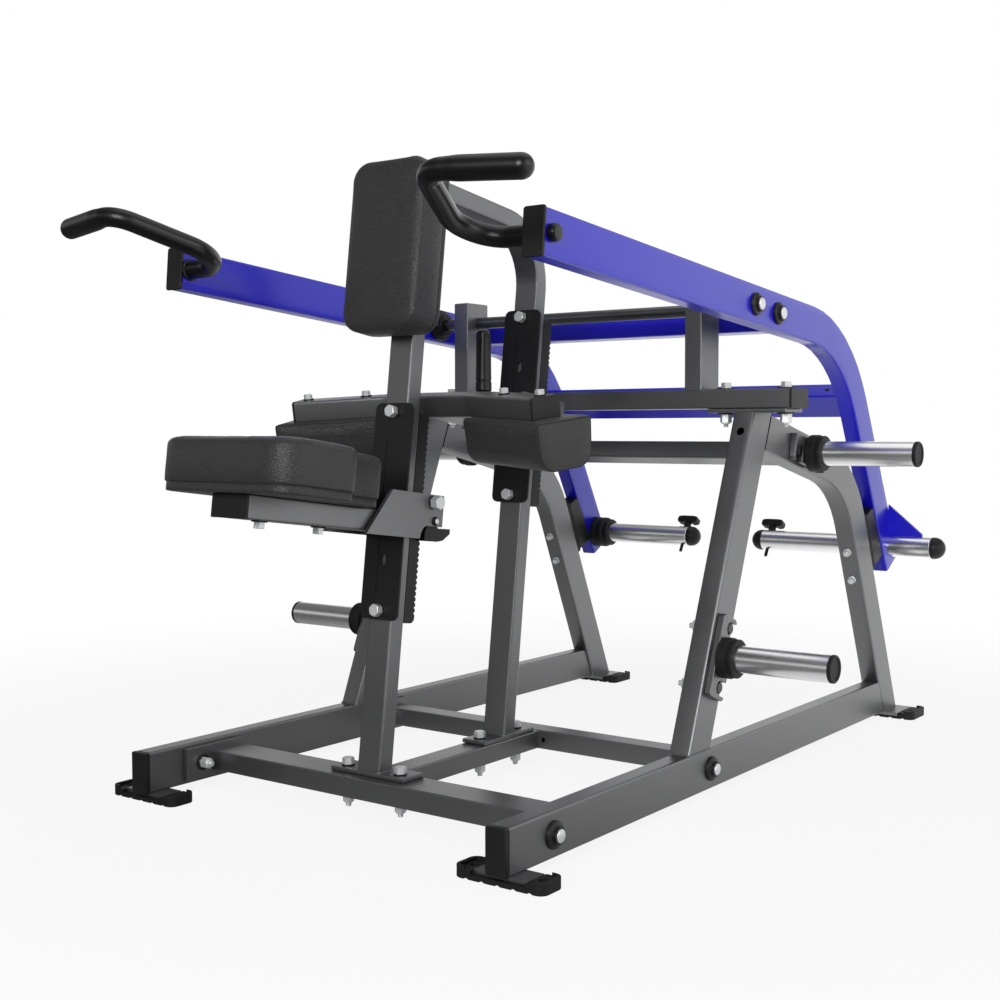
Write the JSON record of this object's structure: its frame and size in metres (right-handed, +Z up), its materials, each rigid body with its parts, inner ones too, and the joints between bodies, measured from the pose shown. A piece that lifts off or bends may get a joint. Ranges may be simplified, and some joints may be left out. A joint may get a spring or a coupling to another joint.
{
  "type": "triceps pushdown machine",
  "caption": "Plate-loaded seated triceps pushdown machine with a bent press lever, cranked handles, height-adjustable seat and thigh rest, a chest pad and weight horns.",
  "frame": {"origin": "on the floor, in the middle of the machine's footprint", "axes": "+X to the machine's right as seen from the user's end, +Y from the user's end to the loading end, +Z up"},
  "size_m": [1.328, 1.7769, 1.1545],
  "materials": {
    "frame_coat": "dark grey satin powder coat",
    "lever_coat": "royal blue gloss powder coat",
    "moulded_cap": "black moulded nylon",
    "guide_plastic": "black moulded nylon with a fine grain",
    "hub_plastic": "black moulded plastic",
    "rubber_foot": "black moulded rubber",
    "horn_rubber": "black moulded rubber",
    "grip_rubber": "smooth black rubber",
    "handle_coat": "black gloss powder coat on steel tube",
    "horn_steel": "turned and brushed bright steel",
    "shaft_steel": "ground steel bar",
    "pad_vinyl": "black upholstery vinyl with a leather grain"
  },
  "bodies": {
    "frame": {"left_front_foot": "rubber_foot", "left_rear_foot": "rubber_foot", "right_front_foot": "rubber_foot", "right_rear_foot": "rubber_foot", "left_rail": "frame_coat", "right_rail": "frame_coat", "left_rail_cap": "moulded_cap", "right_rail_cap": "moulded_cap", "base_crossframe": "frame_coat", "seat_post": "frame_coat", "mast": "frame_coat", "seat_guide_plate": "guide_plastic", "seat_rack": "guide_plastic", "thigh_guide_plate": "guide_plastic", "thigh_rack": "guide_plastic", "left_front_leg": "frame_coat", "right_front_leg": "frame_coat", "left_rear_leg": "frame_coat", "right_rear_leg": "frame_coat", "rear_crossmember": "frame_coat", "crossbeam_frame": "frame_coat", "pivot_shaft": "shaft_steel", "left_front_storage_horn": "horn_steel", "left_rear_storage_horn": "horn_steel", "right_front_storage_horn": "horn_steel", "right_rear_storage_horn": "horn_steel", "left_front_storage_collar": "horn_rubber", "left_rear_storage_collar": "horn_rubber", "right_front_storage_collar": "horn_rubber", "right_rear_storage_collar": "horn_rubber", "left_bumper": "horn_rubber", "right_bumper": "horn_rubber", "chest_pad": "pad_vinyl"},
    "press_lever": {"left_arm": "lever_coat", "right_arm": "lever_coat", "left_arm_cap": "moulded_cap", "right_arm_cap": "moulded_cap", "left_bearing_hub": "hub_plastic", "right_bearing_hub": "hub_plastic", "left_lever_horn": "horn_steel", "right_lever_horn": "horn_steel", "left_horn_collar": "horn_rubber", "right_horn_collar": "horn_rubber", "left_handle": "handle_coat", "right_handle": "handle_coat", "left_grip": "grip_rubber", "right_grip": "grip_rubber", "upper_cross_tube": "lever_coat", "lower_cross_tube": "lever_coat"},
    "left_pin": {"left_lock_pin": "hub_plastic"},
    "right_pin": {"right_lock_pin": "hub_plastic"},
    "seat": {"seat_carriage": "frame_coat", "seat_tube_cap": "moulded_cap", "seat_pad": "pad_vinyl"},
    "seat_latch": {"seat_release_lever": "guide_plastic"},
    "thigh_rest": {"thigh_carriage": "frame_coat", "left_thigh_pad": "pad_vinyl", "right_thigh_pad": "pad_vinyl"},
    "thigh_latch": {"thigh_release_lever": "grip_rubber"}
  },
  "joints": [
    {"name": "press_lever_hinge", "type": "hinge", "parent": "frame", "child": "press_lever", "pos_m": [0, 0.13495, 0.917], "axis": [1, 0, 0], "range_deg": [0, 38]},
    {"name": "left_pin_pull", "type": "slide", "parent": "press_lever", "child": "left_pin", "axis": [0, 0.5, 0.866], "range_m": [0, 0.055], "stiffness_N_per_m": 60, "springref_m": -0.01},
    {"name": "right_pin_pull", "type": "slide", "parent": "press_lever", "child": "right_pin", "axis": [0, 0.5, 0.866], "range_m": [0, 0.055], "stiffness_N_per_m": 60, "springref_m": -0.01},
    {"name": "seat_height", "type": "slide", "parent": "frame", "child": "seat", "axis": [0, 0.1255, 0.9921], "range_m": [-0.1, 0.1]},
    {"name": "seat_latch_hinge", "type": "hinge", "parent": "seat", "child": "seat_latch", "pos_m": [0, -0.42148, 0.51592], "axis": [1, 0, 0], "range_deg": [0, 20], "stiffness_Nm_per_rad": 1, "springref_deg": -8.59},
    {"name": "thigh_height", "type": "slide", "parent": "frame", "child": "thigh_rest", "axis": [0, 0.1255, 0.9921], "range_m": [-0.05, 0.14]},
    {"name": "thigh_latch_hinge", "type": "hinge", "parent": "thigh_rest", "child": "thigh_latch", "pos_m": [0, -0.20876, 0.7387], "axis": [1, 0, 0], "range_deg": [-15, 15], "stiffness_Nm_per_rad": 1.5}
  ]
}
